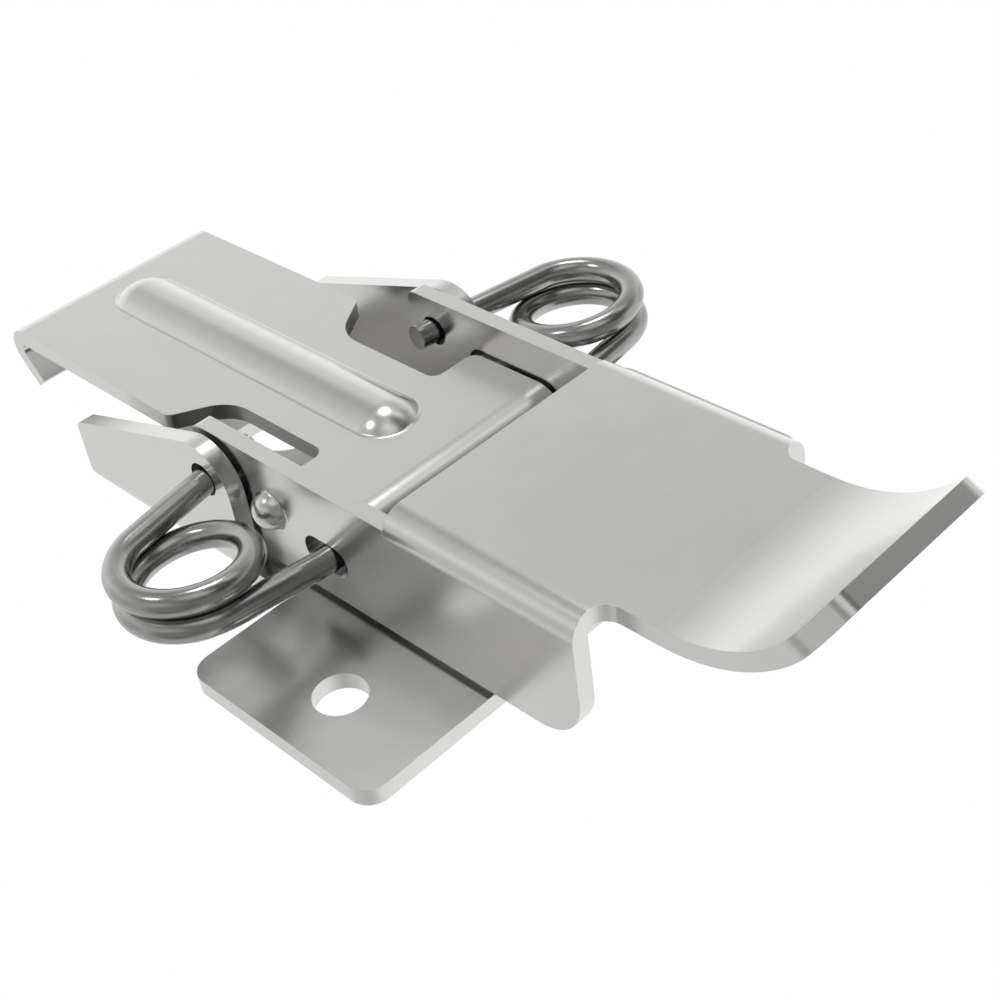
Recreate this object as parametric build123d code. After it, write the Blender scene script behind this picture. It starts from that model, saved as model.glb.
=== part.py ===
from build123d import *
import math
import os

os.makedirs("parts", exist_ok=True)

# Draw latch folded from sheet steel, worked by a pair of torsion springs. Millimetres, +Z up.
# Origin: underside of the base, midway between the two mounting holes.
# The hook points to -X, the finger tab to +X. Both sides are mirror images about Y = 0.

# Stock
SHEET = 1.9
WIRE_D = 2.8
WIRE_HOLE_D = 3.5
EAR_HOLE_D = 3.8
TIGHT_BEND_R = 0.4
FLANGE_BEND_R = 0.65

# Clearances
EAR_GAP = 0.4
CLAW_SIDE_GAP = 0.36

# Base
MOUNT_REAR_X = -14.5
MOUNT_FRONT_X = 11.5
MOUNT_HALF_W = 31.6
MOUNT_CORNER_R = 2.4
MOUNT_HOLE_D = 5.5
MOUNT_HOLE_PITCH = 49.0
EAR_TIP_X = -49.8
EAR_BACK_X = -21.45
EAR_TIP_Z = 8.5
EAR_SLOPE_DEG = 17.5
EAR_TIP_R = 1.0
EAR_CROWN_R = 4.9
WINDOW_FRONT_X = -41.7
WINDOW_HALF_W = 4.1
WINDOW_CENTRE_X = -37.1

# Fulcrum holes, which take the upper spring legs. The lever turns about X -25.35, Z 11.8
EAR_HOLE_X = -25.45
EAR_HOLE_Z = 11.68
LEVER_HOLE_X = -25.28
LEVER_HOLE_Z = 11.88

# Lever
LEVER_HALF_W = 16.0
LEVER_TOP_Z = 17.65
LEVER_PLATE_X = -0.2
LEVER_NOSE_X = -28.9
LEVER_TAIL_X = 23.1
LEVER_FOOT_Z = 2.6
LEVER_SHOULDER_Z = 15.95
NOSE_TOP_R = 1.0
NOSE_FOOT_R = 5.0
TAIL_FOOT_R = 5.5
DIMPLE_X = -17.9
DIMPLE_Z = 9.95
DIMPLE_R = 2.15
DIMPLE_H = 2.05
DIMPLE_HOLLOW_R = 2.1
DIMPLE_FOOT_R = 0.3
SLOT_LEFT_X = -13.3
SLOT_RIGHT_X = -7.0
SLOT_Z = 7.7
SLOT_W = 3.6

# Finger tab
TAB_HALF_W = 12.1
TAB_ROOT_R = 2.0
TAB_CURL_X = 29.1
TAB_CURL_R = 16.5
TAB_CURL_DEG = 60.0
TAB_TIP_LEN = 1.0
TAB_CHAMFER = 3.45
TAB_CHAMFER_R = 2.2

# Claw
CLAW_TOP_Z = 11.66
CLAW_HOOK_X = -66.5
HOOK_R = 0.9
HOOK_DEG = 128.0
HOOK_LEG = 3.8
EYE_X = -9.4
EYE_CURL_DEG = 250.0
BEAD_START_X = -60.0
BEAD_END_X = -18.4
BEAD_HALF_W = 3.8
BEAD_H = 1.7
BEAD_FOOT_R = 0.5
NOTCH_HALF_W = 7.8
NOTCH_BACK_X = -18.8
NOTCH_FRONT_X = -34.1
NOTCH_MOUTH_X = -37.75
NOTCH_FRONT_R = 5.0
NOTCH_BACK_R = 1.3
NOTCH_LIP_R = 1.3

# Springs
COIL_X = -16.6
COIL_Y = -27.5
COIL_Z = 12.65
COIL_R = 6.35
COIL_TILT_DEG = 6.2
COIL_PITCH = 3.0
COIL_FIRST_DEG = 23.0
COIL_LAST_DEG = 535.0
PIN_END_X = -25.8
PIN_END_Y = -11.9
PIN_END_Z = 11.94
PIN_BEND_X = -25.08
PIN_BEND_Y = -18.4
PIN_BEND_Z = 11.75
EYE_PIN_END_Y = -7.5
EYE_PIN_BEND_Y = -16.9
LEG_BEND_LEN = 1.0
COIL_BEND_LEN = 0.6

# Sizes that follow from the ones above
LEVER_INNER = LEVER_HALF_W - SHEET
EAR_INNER = LEVER_HALF_W + EAR_GAP
EAR_OUTER = EAR_INNER + SHEET
CLAW_HALF_W = LEVER_INNER - CLAW_SIDE_GAP
EYE_OUTER_R = WIRE_HOLE_D / 2 + SHEET
EYE_Z = CLAW_TOP_Z - EYE_OUTER_R


def side_face(points):
    """Closed outline in the XZ plane."""
    return make_face(Polyline(*[(x, 0, z) for x, z in points], close=True))


def side_slab(face, half_width):
    """The outline given a thickness to both sides of Y = 0."""
    return extrude(face, amount=half_width, dir=(0, 1, 0), both=True)


def plan_slab(face, low, high):
    return extrude(face.moved(Location((0, 0, low))), amount=high - low, dir=(0, 0, 1))


def rounded(face, corners):
    """Rounds each named corner of a flat outline, corner by corner."""
    for corner, radius in corners:
        vertex = min(face.vertices(), key=lambda v: (Vector(*corner) - Vector(v.X, v.Y, v.Z)).length)
        face = fillet(vertex, radius)
    return face


def cross_rod(x, z, diameter, half_length):
    rod = Cylinder(diameter / 2, 2 * half_length, rotation=(90, 0, 0))
    return rod.moved(Location((x, 0, z)))


def channel(half_width, height, bend_r, start_x, end_x):
    """U section lying along X, open at the top."""
    outer = Rectangle(2 * half_width, height, align=(Align.CENTER, Align.MIN))
    outer = fillet(outer.vertices().group_by(Axis.Y)[0], bend_r + SHEET)
    inner = Rectangle(2 * (half_width - SHEET), height, align=(Align.CENTER, Align.MIN))
    inner = fillet(inner.vertices().group_by(Axis.Y)[0], bend_r)
    section = outer - inner.moved(Location((0, SHEET, 0)))
    plane = Plane(origin=(start_x, 0, 0), x_dir=(0, 1, 0), z_dir=(1, 0, 0))
    return extrude(plane * section, amount=end_x - start_x, dir=(1, 0, 0))


def strip(start, heading_deg, moves):
    """Side view of a bent strip. Start is on its left face, seen along the heading in XZ.
    Moves are ("run", length) or ("bend", signed degrees, inner radius), positive to the left."""
    x, z = start
    heading = math.radians(heading_deg)
    left = []
    right = []
    for move in moves:
        normal = (-math.sin(heading), math.cos(heading))
        right_x = x - SHEET * normal[0]
        right_z = z - SHEET * normal[1]
        if move[0] == "run":
            step_x = move[1] * math.cos(heading)
            step_z = move[1] * math.sin(heading)
            left.append(Line((x, 0, z), (x + step_x, 0, z + step_z)))
            right.append(Line((right_x, 0, right_z), (right_x + step_x, 0, right_z + step_z)))
            x += step_x
            z += step_z
            continue
        turn = math.radians(move[1])
        side = 1 if turn > 0 else -1
        left_r = move[2] if side > 0 else move[2] + SHEET
        right_r = left_r + SHEET * side
        centre_x = x + side * left_r * normal[0]
        centre_z = z + side * left_r * normal[1]
        spans = []
        for part in (0.0, 0.5, 1.0):
            out = heading + part * turn - side * math.pi / 2
            spans.append((math.cos(out), math.sin(out)))
        for edges, radius in ((left, left_r), (right, right_r)):
            edges.append(ThreePointArc(*[(centre_x + radius * c, 0, centre_z + radius * s) for c, s in spans]))
        heading += turn
        x = centre_x + left_r * spans[2][0]
        z = centre_z + left_r * spans[2][1]
    caps = [Line(left[0] @ 0, right[0] @ 0), Line(left[-1] @ 1, right[-1] @ 1)]
    return make_face(Wire(left + right + caps))


def mirrored(solid):
    return solid.mirror(Plane.XZ)


def make_base():
    reach = 2 * EAR_CROWN_R + LEVER_TOP_Z
    trough = channel(EAR_OUTER, reach, TIGHT_BEND_R, EAR_TIP_X, EAR_BACK_X)
    crown_z = EAR_TIP_Z + (EAR_BACK_X - EAR_TIP_X) * math.tan(math.radians(EAR_SLOPE_DEG))
    outline = [(EAR_TIP_X, 0), (EAR_TIP_X, EAR_TIP_Z), (EAR_BACK_X, crown_z), (EAR_BACK_X, 0)]
    face = side_face(outline)
    corners = [((EAR_TIP_X, 0, EAR_TIP_Z), EAR_TIP_R), ((EAR_BACK_X, 0, crown_z), EAR_CROWN_R)]
    trough &= side_slab(rounded(face, corners), EAR_OUTER)
    neck = Pos((EAR_BACK_X + MOUNT_REAR_X) / 2, 0, 0) * Rectangle(MOUNT_REAR_X - EAR_BACK_X, 2 * EAR_OUTER)
    depth = MOUNT_FRONT_X - MOUNT_REAR_X
    plate = RectangleRounded(depth, 2 * MOUNT_HALF_W, MOUNT_CORNER_R)
    plate = Pos((MOUNT_REAR_X + MOUNT_FRONT_X) / 2, 0, 0) * plate
    body = trough + plan_slab(neck, 0, SHEET) + plan_slab(plate, 0, SHEET)
    window = SlotCenterToCenter(2 * (WINDOW_CENTRE_X - WINDOW_FRONT_X), 2 * WINDOW_HALF_W)
    window = Pos(WINDOW_FRONT_X, 0, 0) * window
    ahead = Pos(WINDOW_FRONT_X - MOUNT_HALF_W / 2, 0, 0) * Rectangle(MOUNT_HALF_W, MOUNT_HALF_W)
    body -= plan_slab(window - ahead, -SHEET, 2 * SHEET)
    for side in (-1, 1):
        hole = Pos(0, side * MOUNT_HOLE_PITCH / 2, 0) * Circle(MOUNT_HOLE_D / 2)
        body -= plan_slab(hole, -SHEET, 2 * SHEET)
    body -= cross_rod(EAR_HOLE_X, EAR_HOLE_Z, EAR_HOLE_D, MOUNT_HALF_W)
    return body.clean()


def dimple(body, side):
    """A dome pressed outward through the lever flange, hollow from the inside."""
    face_y = side * LEVER_HALF_W
    dome = Sphere(DIMPLE_R).moved(Location((DIMPLE_X, face_y + side * (DIMPLE_H - DIMPLE_R), DIMPLE_Z)))
    reach = 4 * DIMPLE_R
    keep = Box(reach, reach, reach)
    keep = keep.moved(Location((DIMPLE_X, face_y + side * (reach - SHEET) / 2, DIMPLE_Z)))
    body += dome & keep
    foot = body.edges().filter_by(lambda e: on_dome_foot(e, face_y))
    body = fillet(foot, DIMPLE_FOOT_R)
    return body - Sphere(DIMPLE_HOLLOW_R).moved(Location((DIMPLE_X, side * LEVER_INNER, DIMPLE_Z)))


def on_dome_foot(edge, face_y):
    """True for the circle where the dome rises out of the flange."""
    reach = edge @ 0.25 - Vector(DIMPLE_X, face_y, DIMPLE_Z)
    return edge.geom_type == GeomType.CIRCLE and abs((edge @ 0).Y - face_y) < 0.01 and reach.length < DIMPLE_R + 0.1


def make_lever():
    run_out = LEVER_TAIL_X + TAB_ROOT_R
    height = LEVER_TOP_Z - LEVER_FOOT_Z
    hood = channel(LEVER_HALF_W, height, FLANGE_BEND_R, LEVER_PLATE_X, run_out)
    hood = hood.mirror(Plane.XY).moved(Location((0, 0, LEVER_TOP_Z)))
    outline = [
        (LEVER_NOSE_X, LEVER_FOOT_Z),
        (LEVER_NOSE_X, LEVER_SHOULDER_Z),
        (LEVER_PLATE_X, LEVER_SHOULDER_Z),
        (LEVER_PLATE_X, LEVER_TOP_Z),
        (LEVER_TAIL_X, LEVER_TOP_Z),
        (LEVER_TAIL_X, LEVER_FOOT_Z),
    ]
    corners = [
        ((LEVER_NOSE_X, 0, LEVER_FOOT_Z), NOSE_FOOT_R),
        ((LEVER_NOSE_X, 0, LEVER_SHOULDER_Z), NOSE_TOP_R),
        ((LEVER_TAIL_X, 0, LEVER_FOOT_Z), TAIL_FOOT_R),
    ]
    profile = rounded(side_face(outline), corners)
    side_view = side_slab(profile, LEVER_HALF_W)
    cheeks = side_view - side_slab(profile, LEVER_INNER)
    cheeks -= Box(2 * run_out, 3 * LEVER_HALF_W, 3 * LEVER_TOP_Z).moved(Location((LEVER_PLATE_X + run_out, 0, 0)))
    hood_sides = hood & side_view
    root = Polyline(
        (LEVER_TAIL_X, LEVER_INNER),
        (LEVER_TAIL_X, -LEVER_INNER),
        (run_out, -LEVER_INNER),
        (run_out, LEVER_INNER),
        close=True,
    )
    web = plan_slab(make_face(root), LEVER_TOP_Z - SHEET - FLANGE_BEND_R, LEVER_TOP_Z + SHEET)
    for side in (-1, 1):
        relief = Pos(run_out, side * (TAB_HALF_W + TAB_ROOT_R), 0) * Circle(TAB_ROOT_R)
        web -= plan_slab(relief, 0, 2 * LEVER_TOP_Z)
    lever = hood_sides + (hood & web) + cheeks + make_tab(run_out)
    for side in (-1, 1):
        lever = dimple(lever, side)
    lever -= cross_rod(LEVER_HOLE_X, LEVER_HOLE_Z, WIRE_HOLE_D, MOUNT_HALF_W)
    slot = SlotOverall(SLOT_RIGHT_X - SLOT_LEFT_X, SLOT_W)
    plane = Plane(origin=((SLOT_LEFT_X + SLOT_RIGHT_X) / 2, 0, SLOT_Z), x_dir=(1, 0, 0), z_dir=(0, -1, 0))
    lever -= extrude(plane * slot, amount=MOUNT_HALF_W, both=True)
    return lever.clean()


def make_tab(root_x):
    """Finger tab curled up from the top plate, its end corners cut off and eased."""
    moves = [
        ("run", TAB_CURL_X - root_x),
        ("bend", TAB_CURL_DEG, TAB_CURL_R),
        ("run", TAB_TIP_LEN + TAB_CHAMFER),
    ]
    tab = side_slab(strip((root_x, LEVER_TOP_Z), 0, moves), TAB_HALF_W)
    curl = math.radians(TAB_CURL_DEG)
    along = Vector(math.cos(curl), 0, math.sin(curl))
    across = Vector(-math.sin(curl), 0, math.cos(curl))
    rise = TAB_CURL_R * (1 - math.cos(curl))
    curl_end = Vector(TAB_CURL_X + TAB_CURL_R * math.sin(curl), 0, LEVER_TOP_Z + rise)
    cut = Plane(origin=curl_end + along * TAB_TIP_LEN, x_dir=along, z_dir=across)
    inner_y = TAB_HALF_W - TAB_CHAMFER
    half = [(-2 * TAB_CURL_R, TAB_HALF_W), (-TAB_CHAMFER, TAB_HALF_W), (0, inner_y)]
    shape = make_face(Polyline(*half, *[(x, -y) for x, y in reversed(half)], close=True))
    corners = [((x, side * y, 0), TAB_CHAMFER_R) for x, y in half[1:] for side in (-1, 1)]
    shape = rounded(shape, corners)
    return tab & extrude(cut * shape, amount=3 * TAB_CURL_R, both=True)


def bead_form(radius, axis_z):
    """Round-ended bar along X, whose crown makes the bead."""
    length = BEAD_END_X - BEAD_START_X
    bar = Cylinder(radius, length, rotation=(0, 90, 0))
    bar = bar.moved(Location(((BEAD_START_X + BEAD_END_X) / 2, 0, axis_z)))
    for x in (BEAD_START_X, BEAD_END_X):
        bar += Sphere(radius).moved(Location((x, 0, axis_z)))
    return bar


def make_claw():
    """Plate with a hook at one end and an eye rolled round the lower spring legs at the other."""
    plate_len = EYE_X - CLAW_HOOK_X
    hook = strip((CLAW_HOOK_X, CLAW_TOP_Z - SHEET), 180, [
        ("bend", HOOK_DEG, HOOK_R),
        ("run", HOOK_LEG),
    ])
    plate = side_face([
        (CLAW_HOOK_X, CLAW_TOP_Z - SHEET),
        (EYE_X, CLAW_TOP_Z - SHEET),
        (EYE_X, CLAW_TOP_Z),
        (CLAW_HOOK_X, CLAW_TOP_Z),
    ])
    eye = strip((EYE_X, CLAW_TOP_Z), 0, [("bend", -EYE_CURL_DEG, WIRE_HOLE_D / 2)])
    claw = side_slab(hook, CLAW_HALF_W) + side_slab(plate, CLAW_HALF_W) + side_slab(eye, CLAW_HALF_W)
    mouth = [
        (NOTCH_BACK_X, CLAW_HALF_W),
        (NOTCH_BACK_X, NOTCH_HALF_W),
        (NOTCH_FRONT_X, NOTCH_HALF_W),
        (NOTCH_MOUTH_X, CLAW_HALF_W),
    ]
    radii = (NOTCH_LIP_R, NOTCH_BACK_R, NOTCH_FRONT_R, NOTCH_LIP_R)
    tail_x = EYE_X + 2 * EYE_OUTER_R
    head_x = CLAW_HOOK_X - plate_len
    half = [(tail_x, CLAW_HALF_W)] + mouth + [(head_x, CLAW_HALF_W)]
    outline = half + [(x, -y) for x, y in reversed(half)]
    plan = make_face(Polyline(*outline, close=True))
    corners = []
    for (x, y), radius in zip(mouth, radii):
        corners += [((x, y, 0), radius), ((x, -y, 0), radius)]
    claw &= plan_slab(rounded(plan, corners), -LEVER_TOP_Z, LEVER_TOP_Z)
    crest_r = (BEAD_HALF_W ** 2 + BEAD_H ** 2) / (2 * BEAD_H)
    axis_z = CLAW_TOP_Z + BEAD_H - crest_r
    above = Box(4 * plate_len, 4 * CLAW_HALF_W, 4 * BEAD_H, align=(Align.CENTER, Align.CENTER, Align.MIN))
    claw += bead_form(crest_r, axis_z) & above.moved(Location((0, 0, CLAW_TOP_Z - SHEET / 2)))
    foot = claw.edges().filter_by(lambda e: on_bead_foot(e))
    claw = fillet(foot, BEAD_FOOT_R)
    claw -= bead_form(crest_r - SHEET, axis_z)
    return claw.clean()


def on_bead_foot(edge):
    """True for the four edges where the bead rises out of the plate's top face."""
    mid = edge @ 0.5
    if abs(mid.Z - CLAW_TOP_Z) > 0.01 or abs((edge @ 0.2).Z - CLAW_TOP_Z) > 0.01:
        return False
    inside = BEAD_START_X - BEAD_HALF_W - 0.1 < mid.X < BEAD_END_X + BEAD_HALF_W + 0.1
    return inside and abs(mid.Y) < BEAD_HALF_W + 0.1


def coil_axis():
    """Unit vector down the coil, from the upper leg to the lower one."""
    tilt = math.radians(COIL_TILT_DEG)
    return Vector(math.sin(tilt), 0, -math.cos(tilt))


def coil_radial(turn_deg):
    """Unit vector from the coil's axis to the wire. Turn 0 faces the hook."""
    turn = math.radians(turn_deg)
    tilt = math.radians(COIL_TILT_DEG)
    out = -math.cos(turn)
    return Vector(out * math.cos(tilt), -math.sin(turn), out * math.sin(tilt))


def spring_leg(pin_end, pin_bend, joint, heading):
    """A straight pin, a bend, a straight leg and the short bend that leads into the coil."""
    corner = joint - heading * COIL_BEND_LEN
    along = (pin_bend - pin_end).normalized()
    leg = (corner - pin_bend).normalized()
    before = pin_bend - along * LEG_BEND_LEN
    after = pin_bend + leg * LEG_BEND_LEN
    leg_end = corner - leg * COIL_BEND_LEN
    return [
        Line(pin_end, before),
        Bezier(before, pin_bend, after),
        Line(after, leg_end),
        Bezier(leg_end, corner, joint),
    ]


def make_spring():
    axis = coil_axis()
    travel = COIL_PITCH * (COIL_LAST_DEG - COIL_FIRST_DEG) / 360
    centre = Vector(COIL_X, COIL_Y, COIL_Z)
    frame = Plane(origin=centre, x_dir=coil_radial(COIL_FIRST_DEG), z_dir=axis)
    coil = frame * Helix(COIL_PITCH, travel, COIL_R, lefthand=True)
    upper = spring_leg(
        Vector(PIN_END_X, PIN_END_Y, PIN_END_Z),
        Vector(PIN_BEND_X, PIN_BEND_Y, PIN_BEND_Z),
        coil @ 0,
        coil % 0,
    )
    lower = spring_leg(
        Vector(EYE_X, EYE_PIN_END_Y, EYE_Z),
        Vector(EYE_X, EYE_PIN_BEND_Y, EYE_Z),
        coil @ 1,
        coil % 1 * -1,
    )
    path = Wire(upper + [coil] + lower)
    section = Plane(origin=path @ 0, z_dir=path % 0) * Circle(WIRE_D / 2)
    return sweep(section, path=path)


base = make_base()
lever = make_lever()
claw = make_claw()
spring_near = make_spring()
spring_far = mirrored(spring_near)

pieces = {
    "base": base,
    "lever": lever,
    "claw": claw,
    "spring_near": spring_near,
    "spring_far": spring_far,
}
for name, solid in pieces.items():
    export_step(solid, f"parts/{name}.step")
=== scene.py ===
import math

import bpy
from mathutils import Matrix, Vector

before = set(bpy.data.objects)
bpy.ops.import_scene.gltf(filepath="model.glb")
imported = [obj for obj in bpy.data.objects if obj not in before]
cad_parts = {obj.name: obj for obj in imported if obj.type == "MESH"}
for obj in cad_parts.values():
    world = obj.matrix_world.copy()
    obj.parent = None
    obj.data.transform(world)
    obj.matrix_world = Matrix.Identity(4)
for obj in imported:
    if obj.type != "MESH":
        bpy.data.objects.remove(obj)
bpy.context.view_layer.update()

# Camera, solved from the straight edges and holes of the part. Lengths are in metres
CAMERA_AT = (0.0964103, -0.0840435, 0.110142)
CAMERA_RIGHT = (0.710657, 0.693845, -0.116383)
CAMERA_UP = (-0.368865, 0.508329, 0.778165)
CAMERA_BACK = (0.599087, -0.510079, 0.617183)
FOCAL_PX = 1665.39
CENTRE_PX = (497.35, 496.83)
FRAME_PX = 1000
SENSOR_MM = 36.0
CLIP_NEAR = 0.005
CLIP_FAR = 50

# Metals
STEEL = (0.68, 0.677, 0.669)
WIRE = (0.393, 0.39, 0.385)
BASE_ROUGHNESS = 0.26
LEVER_ROUGHNESS = 0.24
CLAW_ROUGHNESS = 0.24
WIRE_ROUGHNESS = 0.21

# Noise in the metals: scale per metre, detail, and a factor for each axis, less than 1 where it is drawn out.
# NOISE_SPAN is the span that its values mostly stay in
EVEN = (1, 1, 1)
SHEET_GRAIN = (4200, 3, (0.06, 1, 1))
SHEET_MOTTLE = (260, 4, EVEN)
SHEET_FINE = (9000, 2, EVEN)
WIRE_FINE = (3000, 3, EVEN)
WIRE_MOTTLE = (400, 3, EVEN)
NOISE_SPAN = (0.3, 0.7)

# What the noise does: darkest and lightest tone, change of roughness either way, share of the fine noise
# in the bump, strength of the bump, and its height
SHEET_TONES = (0.985, 1.015)
SHEET_GRAIN_ROUGHNESS = 0.006
SHEET_MOTTLE_ROUGHNESS = 0.004
SHEET_FINE_SHARE = 0.5
SHEET_BUMP = 0.17
WIRE_TONES = (0.94, 1.06)
WIRE_FINE_ROUGHNESS = 0.02
WIRE_BUMP = 0.06
BUMP_HEIGHT = 0.00002

# Polished break on each edge of the sheet
EDGE_BREAK = 0.00005
EDGE_SAMPLES = 6

# Studio light: its colour, and the radiance of the upper half by height of the direction
STUDIO_COLOUR = (1, 1, 0.988, 1)
DOME_LEVELS = [
    (0.0, 1.16), (0.2, 1.13), (0.29, 1.075), (0.375, 0.98), (0.454, 0.877),
    (0.5, 0.82), (0.559, 0.743), (0.616, 0.655), (0.669, 0.57), (0.719, 0.51),
    (0.766, 0.53), (0.85, 0.515), (1.0, 0.47),
]

# A new ramp element starts here, and then moves to its height
ANYWHERE = 0.5

# Sides of the dome: the middle of the side, the cosines between which it begins and ends, and the level at each
DOME_BEHIND = ((-0.94, 0.342, 0), (-0.1, 0.5), (0.8, 1.0))
LOWER_FAR_SIDE = ((0.5, 0.866, 0), (-0.1, 0.45), (0.68, 1.04))
LOWER_HOOK_END = ((-1, 0, 0), (0.2, 0.75), (1.0, 1.27))

# Heights between which the lower half, which only the metal sees, passes into the upper one
LOWER_TO_UPPER = (-0.5, 0.0)

# Brighter and darker patches: azimuth and elevation of the middle, and the angles from it at which the
# patch begins and is at its full share, all in degrees, then that share
STUDIO_PATCHES = [
    (-62, -6, 44, 14, 0.38),
    (-5, 5, 50, 18, 0.36),
    (-105, 3, 30, 10, 0.75),
    (-135, -3, 26, 8, 0.68),
    (-38, 40, 28, 10, 0.68),
    (88, 0, 22, 8, 0.74),
    (-15, 67, 26, 8, 2.3),
    (62, 40, 30, 13, 0.68),
    (28, 38, 25, 8, 0.3),
    (42, 66, 16, 6, 0.32),
    (72, 55, 12, 4, 2.6),
    (92, 63, 13, 4, 1.7),
    (163, 52, 16, 5, 0.74),
    (-165, 45, 30, 10, 1.08),
    (-71, 31, 16, 5, 1.25),
    (151, 40, 12, 4, 1.2),
]

# Softboxes: name, azimuth and elevation in degrees, diameter in metres, and radiance
SOFTBOXES = [
    ("key", 136, 67, 0.34, 6.3),
    ("fill", -126, 59, 0.22, 7.5),
]
SOFTBOX_AWAY = 1.2

# Floor and backdrop. The floor lies just under the part
FLOOR_DROP = 0.00003
FLOOR_R = 4.0
SWEEP_R = 1.0
SWEEP_STEPS = 8
BACKDROP_H = 6.0
FLOOR_SIDES = 48
PAPER_ROUGHNESS = 0.9


def add(tree, kind, inputs=None, **settings):
    """New node. Of its inputs, a socket is linked, and anything else is set as a value."""
    node = tree.nodes.new(kind)
    for name, value in settings.items():
        setattr(node, name, value)
    for key, value in (inputs or {}).items():
        if isinstance(value, bpy.types.NodeSocket):
            tree.links.new(value, node.inputs[key])
        else:
            node.inputs[key].default_value = value
    return node


def add_object(name, data):
    obj = bpy.data.objects.new(name, data)
    bpy.context.scene.collection.objects.link(obj)
    return obj


def new_material(name):
    """Material with an empty node tree, and that tree."""
    material = bpy.data.materials.new(name)
    material.use_nodes = True
    material.node_tree.nodes.clear()
    return material, material.node_tree


def add_surface(tree, inputs):
    shader = add(tree, "ShaderNodeBsdfPrincipled", inputs)
    add(tree, "ShaderNodeOutputMaterial", {"Surface": shader.outputs["BSDF"]})


def noise(tree, place, scale, detail, stretch):
    mapping = add(tree, "ShaderNodeMapping", {"Vector": place, "Scale": stretch})
    texture = add(tree, "ShaderNodeTexNoise", {
        "Vector": mapping.outputs["Vector"],
        "Scale": scale,
        "Detail": detail,
    })
    return texture.outputs["Fac"]


def map_span(tree, value, source, target, interpolation="LINEAR"):
    """The value moved from the source span to the target one, and kept inside it."""
    span = add(tree, "ShaderNodeMapRange", {
        "Value": value,
        "From Min": source[0],
        "From Max": source[1],
        "To Min": target[0],
        "To Max": target[1],
    }, interpolation_type=interpolation)
    return span.outputs["Result"]


def calculate(tree, operation, *values):
    return add(tree, "ShaderNodeMath", dict(enumerate(values)), operation=operation).outputs["Value"]


def around(middle, reach):
    return middle - reach, middle + reach


def mottled(tree, value, colour, tones):
    """The colour, as dark as the first tone where the noise is low and as light as the second where it is high."""
    low, high = ((*(channel * tone for channel in colour), 1) for tone in tones)
    share = map_span(tree, value, NOISE_SPAN, (0, 1))
    return add(tree, "ShaderNodeMix", {"Factor": share, "A": low, "B": high}, data_type="RGBA").outputs["Result"]


def sheet_steel(name, roughness):
    """Satin rolled stainless sheet: fine grain along X, faint mottling, a polished break on each edge."""
    material, tree = new_material(name)
    place = add(tree, "ShaderNodeTexCoord").outputs["Object"]
    grain = noise(tree, place, *SHEET_GRAIN)
    mottle = noise(tree, place, *SHEET_MOTTLE)
    fine = noise(tree, place, *SHEET_FINE)
    grain_roughness = map_span(tree, grain, NOISE_SPAN, around(0, SHEET_GRAIN_ROUGHNESS))
    mottle_roughness = map_span(tree, mottle, NOISE_SPAN, around(roughness, SHEET_MOTTLE_ROUGHNESS))
    edge = add(tree, "ShaderNodeBevel", {"Radius": EDGE_BREAK}, samples=EDGE_SAMPLES)
    bump = add(tree, "ShaderNodeBump", {
        "Strength": SHEET_BUMP,
        "Distance": BUMP_HEIGHT,
        "Height": calculate(tree, "MULTIPLY_ADD", fine, SHEET_FINE_SHARE, grain),
        "Normal": edge.outputs["Normal"],
    })
    add_surface(tree, {
        "Metallic": 1,
        "Base Color": mottled(tree, mottle, STEEL, SHEET_TONES),
        "Roughness": calculate(tree, "ADD", grain_roughness, mottle_roughness),
        "Normal": bump.outputs["Normal"],
    })
    return material


def drawn_wire(name, roughness):
    """Dark drawn spring wire, finely uneven in gloss and height, and mottled in tone."""
    material, tree = new_material(name)
    place = add(tree, "ShaderNodeTexCoord").outputs["Object"]
    fine = noise(tree, place, *WIRE_FINE)
    mottle = noise(tree, place, *WIRE_MOTTLE)
    bump = add(tree, "ShaderNodeBump", {
        "Strength": WIRE_BUMP,
        "Distance": BUMP_HEIGHT,
        "Height": fine,
    })
    add_surface(tree, {
        "Metallic": 1,
        "Base Color": mottled(tree, mottle, WIRE, WIRE_TONES),
        "Roughness": map_span(tree, fine, NOISE_SPAN, around(roughness, WIRE_FINE_ROUGHNESS)),
        "Normal": bump.outputs["Normal"],
    })
    return material


def dress(node, material):
    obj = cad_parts[node]
    obj.data.materials.clear()
    obj.data.materials.append(material)


def floor_mesh():
    """A disc that sweeps up into an upright wall all round."""
    rings = [(FLOOR_R, -FLOOR_DROP)]
    for step in range(1, SWEEP_STEPS + 1):
        angle = math.pi / 2 * step / SWEEP_STEPS
        rings.append((FLOOR_R + SWEEP_R * math.sin(angle), SWEEP_R * (1 - math.cos(angle)) - FLOOR_DROP))
    rings.append((FLOOR_R + SWEEP_R, BACKDROP_H))
    points = []
    for radius, height in rings:
        for side in range(FLOOR_SIDES):
            angle = 2 * math.pi * side / FLOOR_SIDES
            points.append((radius * math.cos(angle), radius * math.sin(angle), height))
    faces = [tuple(range(FLOOR_SIDES))]
    for ring in range(len(rings) - 1):
        inner = ring * FLOOR_SIDES
        outer = inner + FLOOR_SIDES
        for side in range(FLOOR_SIDES):
            after = (side + 1) % FLOOR_SIDES
            faces.append((inner + side, outer + side, outer + after, inner + after))
    mesh = bpy.data.meshes.new("floor")
    mesh.from_pydata(points, [], faces)
    return mesh


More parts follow.
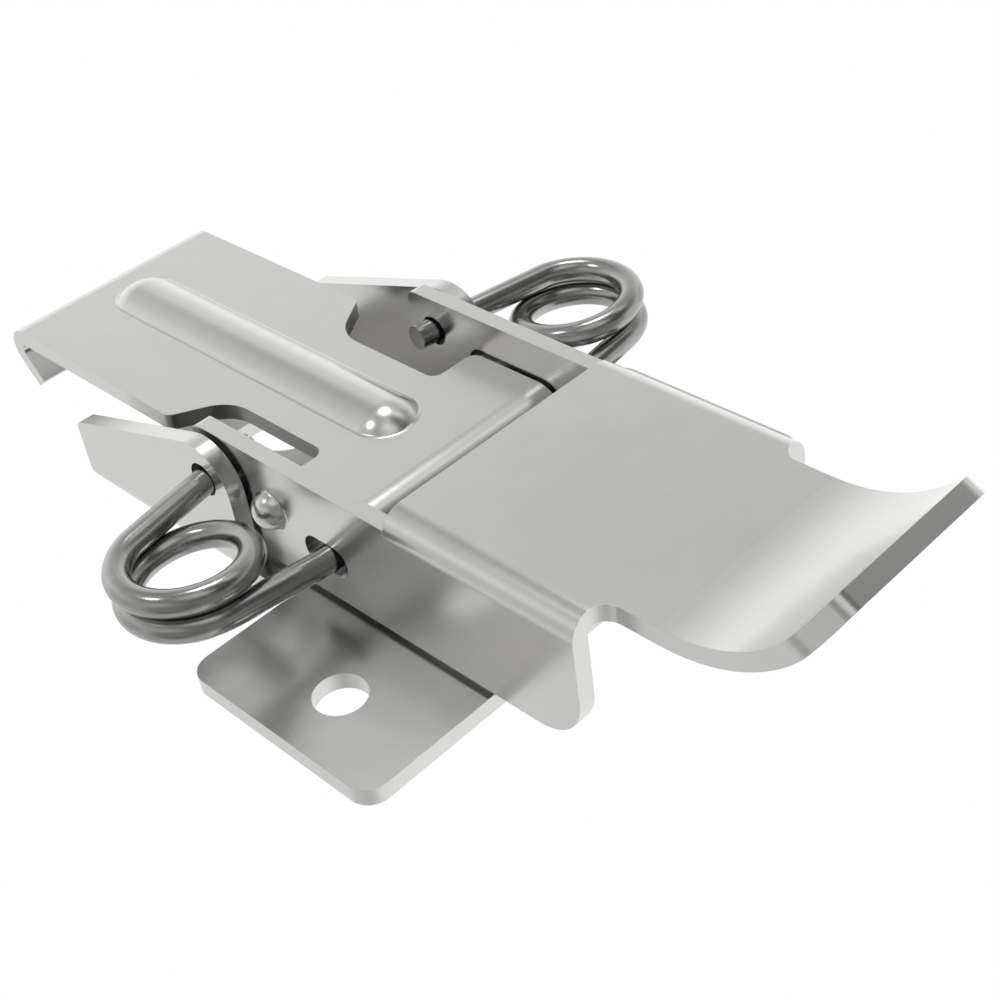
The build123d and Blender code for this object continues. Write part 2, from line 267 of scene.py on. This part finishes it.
def make_floor():
    """White paper floor and backdrop that glow evenly.

    The metal doesn't reflect them: it reflects the lower half of the dome instead.
    """
    mesh = floor_mesh()
    floor = add_object("floor", mesh)
    floor.visible_glossy = False
    floor.visible_shadow = False
    material, tree = new_material("floor_paper")
    add_surface(tree, {
        "Emission Color": (1, 1, 1, 1),
        "Emission Strength": 1,
        "Base Color": (0, 0, 0, 1),
        "Roughness": PAPER_ROUGHNESS,
        "Specular IOR Level": 0,
    })
    mesh.materials.append(material)


def make_camera():
    data = bpy.data.cameras.new("camera")
    data.sensor_width = SENSOR_MM
    data.lens = FOCAL_PX / FRAME_PX * SENSOR_MM
    data.shift_x = (FRAME_PX / 2 - CENTRE_PX[0]) / FRAME_PX
    data.shift_y = (CENTRE_PX[1] - FRAME_PX / 2) / FRAME_PX
    data.clip_start = CLIP_NEAR
    data.clip_end = CLIP_FAR
    camera = add_object("camera", data)
    axes = Matrix((CAMERA_RIGHT, CAMERA_UP, CAMERA_BACK)).transposed().to_4x4()
    camera.matrix_world = Matrix.Translation(CAMERA_AT) @ axes
    bpy.context.scene.camera = camera


def direction(azimuth, elevation):
    """Unit vector. Azimuth is from +X towards +Y, in degrees."""
    a = math.radians(azimuth)
    e = math.radians(elevation)
    return Vector((math.cos(a) * math.cos(e), math.sin(a) * math.cos(e), math.sin(e)))


def near(tree, way, centre, source, target):
    """Level by direction: the target's first value far from the centre, passing smoothly into its second."""
    nearness = add(tree, "ShaderNodeVectorMath", {0: way, 1: centre}, operation="DOT_PRODUCT")
    return map_span(tree, nearness.outputs["Value"], source, target, "SMOOTHSTEP")


def level_by_height(tree, height):
    ramp = add(tree, "ShaderNodeValToRGB", {"Fac": height})
    elements = ramp.color_ramp.elements
    while len(elements) < len(DOME_LEVELS):
        elements.new(ANYWHERE)
    for element, (at, level) in zip(elements, DOME_LEVELS):
        element.position = at
        element.color = (level, level, level, 1)
    return add(tree, "ShaderNodeRGBToBW", {"Color": ramp.outputs["Color"]}).outputs["Val"]


def make_dome():
    """Soft studio dome: bright low down behind the part, dimmer overhead and on the camera's side."""
    world = bpy.data.worlds.new("studio")
    world.use_nodes = True
    tree = world.node_tree
    tree.nodes.clear()
    way = add(tree, "ShaderNodeTexCoord").outputs["Generated"]
    height = add(tree, "ShaderNodeSeparateXYZ", {"Vector": way}).outputs["Z"]
    upper = calculate(tree, "MULTIPLY", near(tree, way, *DOME_BEHIND), level_by_height(tree, height))
    lower = calculate(tree, "MULTIPLY", near(tree, way, *LOWER_FAR_SIDE), near(tree, way, *LOWER_HOOK_END))
    both = add(tree, "ShaderNodeMix", {
        "Factor": map_span(tree, height, LOWER_TO_UPPER, (0, 1), "SMOOTHSTEP"),
        "A": lower,
        "B": upper,
    })
    level = both.outputs["Result"]
    for azimuth, elevation, outer, inner, share in STUDIO_PATCHES:
        edges = (math.cos(math.radians(outer)), math.cos(math.radians(inner)))
        patch = near(tree, way, direction(azimuth, elevation), edges, (1.0, share))
        level = calculate(tree, "MULTIPLY", level, patch)
    background = add(tree, "ShaderNodeBackground", {"Strength": level, "Color": STUDIO_COLOUR})
    add(tree, "ShaderNodeOutputWorld", {"Surface": background.outputs["Background"]})
    bpy.context.scene.world = world


def softbox(name, azimuth, elevation, diameter, radiance):
    """Round softbox aimed at the part."""
    out = direction(azimuth, elevation)
    data = bpy.data.lights.new(name, "AREA")
    data.shape = "DISK"
    data.size = diameter
    area = math.pi * diameter ** 2 / 4
    data.energy = radiance * math.pi * area
    light = add_object(name, data)
    light.location = out * SOFTBOX_AWAY
    light.rotation_mode = "QUATERNION"
    light.rotation_quaternion = out.to_track_quat("Z", "Y")


dress("base", sheet_steel("base_steel", BASE_ROUGHNESS))
dress("lever", sheet_steel("lever_steel", LEVER_ROUGHNESS))
dress("claw", sheet_steel("claw_steel", CLAW_ROUGHNESS))
wire = drawn_wire("spring_wire", WIRE_ROUGHNESS)
dress("spring_near", wire)
dress("spring_far", wire)

make_floor()
make_camera()
make_dome()
for box in SOFTBOXES:
    softbox(*box)

bpy.context.scene.view_settings.view_transform = "Standard"
